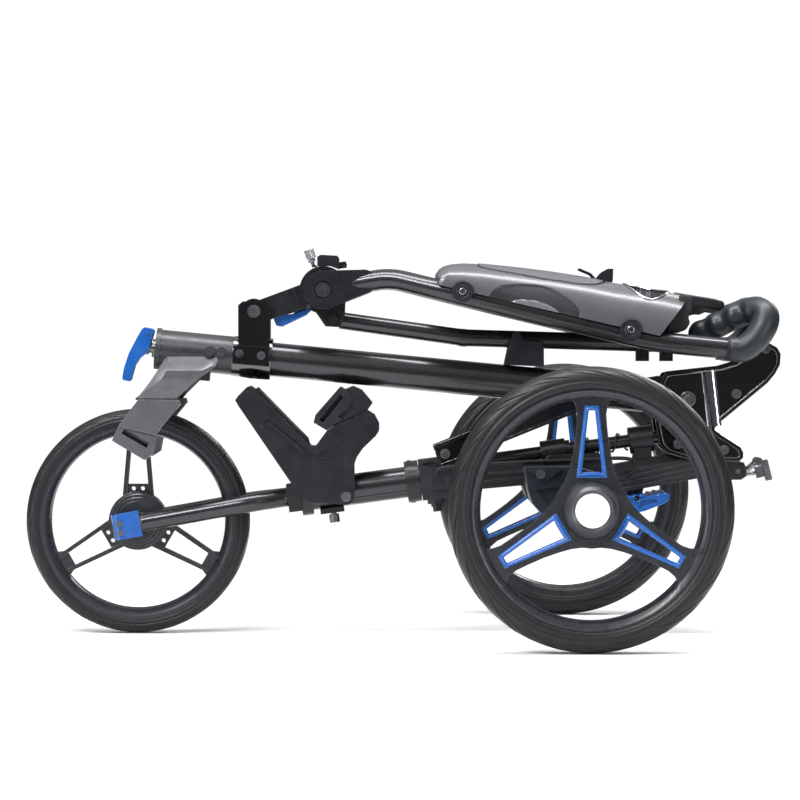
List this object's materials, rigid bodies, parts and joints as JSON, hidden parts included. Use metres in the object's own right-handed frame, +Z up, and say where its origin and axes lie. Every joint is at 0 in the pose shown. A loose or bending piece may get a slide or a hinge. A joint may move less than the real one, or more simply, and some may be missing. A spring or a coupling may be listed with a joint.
{
  "type": "folding golf push trolley",
  "caption": "Folding three-wheel golf push trolley, folded flat: mast and handle lie over a low chassis, with bag cradle, console, foot brake and spoked wheels.",
  "frame": {"origin": "on the ground, under the middle of the folded trolley", "axes": "+X towards the handle end (rear), +Y towards the far rear wheel, +Z up"},
  "size_m": [0.8209, 0.62, 0.4191],
  "materials": {
    "graphite_tube": "satin metallic powder coat",
    "beam_paint": "satin metallic powder coat",
    "black_moulding": "fine moulded grain",
    "blue_plastic": "semi gloss",
    "blue_trim": "semi gloss",
    "steel": "plated",
    "bushing": "turned",
    "housing_plastic": "fine moulded grain",
    "navy_plastic": "smooth moulded",
    "black_gloss": "gloss powder coat",
    "spacer_alloy": "turned",
    "cradle_plastic": "fine moulded grain",
    "black_rubber": "matt",
    "dark_moulding": "fine moulded grain",
    "spring_steel": "blackened",
    "bail_wire": "zinc plated",
    "tyre_rubber": "matt, moulded tread",
    "rim_plastic": "satin moulded",
    "hub_plastic": "satin moulded",
    "white_disc": "gloss",
    "bush_plastic": "smooth",
    "cast_grey": "satin cast",
    "wing_grey": "satin moulded",
    "joint_casting": "satin cast",
    "clear_knob": "clear, glossy",
    "grip_rubber": "soft touch",
    "console_satin": "satin",
    "lid_satin": "satin"
  },
  "bodies": {
    "chassis": {"lower_tube": "graphite_tube", "tube_clamps": "black_moulding", "fork_arms": "graphite_tube", "fork_caps": "blue_plastic", "chassis_bolts": "steel", "axles": "steel", "axle_bushes": "bushing", "hinge_housing": "housing_plastic", "rear_tube": "graphite_tube", "rear_beam": "beam_paint", "axle_carrier": "black_moulding", "leg_covers": "navy_plastic", "rear_plates": "black_gloss", "rail_plates": "black_gloss", "plate_spacers": "spacer_alloy", "mast_pivot_bolt": "steel", "bag_cradle": "cradle_plastic", "cradle_pads": "black_rubber", "cradle_buckle": "dark_moulding", "chassis_brackets": "black_moulding", "brake_cable": "black_rubber", "rod_guide": "black_moulding", "lock_spring": "spring_steel"},
    "tracking_knob": {"tracking_screw": "black_moulding"},
    "fork_plunger": {"fork_lock_plunger": "steel"},
    "brake_foot_pedal": {"brake_pedal": "blue_plastic"},
    "lock_slider": {"lock_rod": "graphite_tube"},
    "foot_bail": {"fold_bail": "bail_wire"},
    "front_wheel": {"front_tyre": "tyre_rubber", "front_rim": "rim_plastic"},
    "near_wheel": {"near_tyre": "tyre_rubber", "near_rim": "rim_plastic", "near_trim": "blue_trim", "near_hub_cap": "hub_plastic", "near_hub_disc": "white_disc"},
    "far_wheel": {"far_tyre": "tyre_rubber", "far_rim": "rim_plastic", "far_trim": "blue_trim", "far_hub_cap": "hub_plastic", "far_hub_disc": "white_disc"},
    "mast": {"mast_tube": "graphite_tube", "mast_bush": "bush_plastic", "mast_head": "cast_grey", "wing_ends": "wing_grey", "mast_bolts": "steel", "clamp_bracket": "black_gloss", "rest_saddle": "cradle_plastic"},
    "cam": {"cam_lever": "blue_plastic"},
    "arm": {"handle_arm": "joint_casting", "accessory_block": "dark_moulding", "angle_bolt": "steel"},
    "holder_knob": {"block_knob": "clear_knob"},
    "arm_latch": {"latch_lever": "blue_plastic"},
    "handle": {"side_sleeves": "joint_casting", "handle_tubes": "graphite_tube", "grip": "grip_rubber", "brace_tube": "graphite_tube", "console_body": "console_satin"},
    "console_cover": {"console_lid": "lid_satin"},
    "clip": {"card_clip": "dark_moulding"}
  },
  "joints": [
    {"name": "front_wheel_spin", "type": "hinge", "parent": "chassis", "child": "front_wheel", "pos_m": [-0.2885, 0, 0.122], "axis": [0, 1, 0], "continuous": true},
    {"name": "near_wheel_spin", "type": "hinge", "parent": "chassis", "child": "near_wheel", "pos_m": [0.19, -0.28, 0.146], "axis": [0, 1, 0], "continuous": true},
    {"name": "far_wheel_spin", "type": "hinge", "parent": "chassis", "child": "far_wheel", "pos_m": [0.19, 0.28, 0.146], "axis": [0, 1, 0], "continuous": true},
    {"name": "mast_fold", "type": "hinge", "parent": "chassis", "child": "mast", "pos_m": [0.3093, 0, 0.2547], "axis": [0, 1, 0], "range_deg": [0, 127.1]},
    {"name": "handle_fold", "type": "hinge", "parent": "mast", "child": "arm", "pos_m": [-0.1617, 0, 0.3501], "axis": [0, -1, 0], "range_deg": [0, 142.5]},
    {"name": "handle_angle", "type": "hinge", "parent": "arm", "child": "handle", "pos_m": [-0.0863, 0, 0.3736], "axis": [0, -1, 0], "range_deg": [0, 55]},
    {"name": "cam_release", "type": "hinge", "parent": "mast", "child": "cam", "pos_m": [-0.2767, 0, 0.3246], "axis": [0, 1, 0], "range_deg": [0, 70]},
    {"name": "arm_latch_press", "type": "hinge", "parent": "arm", "child": "arm_latch", "pos_m": [-0.1025, 0, 0.3555], "axis": [0, 1, 0], "range_deg": [0, 12]},
    {"name": "holder_knob_turn", "type": "hinge", "parent": "arm", "child": "holder_knob", "pos_m": [-0.0966, 0, 0.398], "axis": [-0.2924, 0, 0.9563], "range_deg": [0, 180]},
    {"name": "console_lid_open", "type": "hinge", "parent": "handle", "child": "console_cover", "pos_m": [0.0795, 0, 0.3994], "axis": [0, -1, 0], "range_deg": [0, 70]},
    {"name": "card_clip_lift", "type": "hinge", "parent": "handle", "child": "clip", "pos_m": [0.214, 0, 0.3786], "axis": [0, 1, 0], "range_deg": [0, 40]},
    {"name": "brake_press", "type": "hinge", "parent": "chassis", "child": "brake_foot_pedal", "pos_m": [0.2525, 0, 0.148], "axis": [0, 1, 0], "range_deg": [0, 10]},
    {"name": "fork_plunger_pull", "type": "slide", "parent": "chassis", "child": "fork_plunger", "axis": [0.1323, 0, -0.9912], "range_m": [0, 0.006]},
    {"name": "bail_press", "type": "hinge", "parent": "chassis", "child": "foot_bail", "pos_m": [0.365, 0, 0.176], "axis": [0, 1, 0], "range_deg": [0, 14]},
    {"name": "lock_rod_slide", "type": "slide", "parent": "chassis", "child": "lock_slider", "axis": [0.991, 0, 0.134], "range_m": [0, 0.01], "deforming": ["lock_spring"]},
    {"name": "tracking_turn", "type": "hinge", "parent": "chassis", "child": "tracking_knob", "pos_m": [0.034, 0, 0.1677], "axis": [-0.1323, 0, 0.9912], "range_deg": [-90, 90]}
  ],
  "couplings": [
    {"joint": "handle_fold", "follows": "mast_fold", "ratio": 1.1172},
    {"joint": "lock_rod_slide", "follows": "bail_press", "m_per_rad": 0.040107}
  ]
}
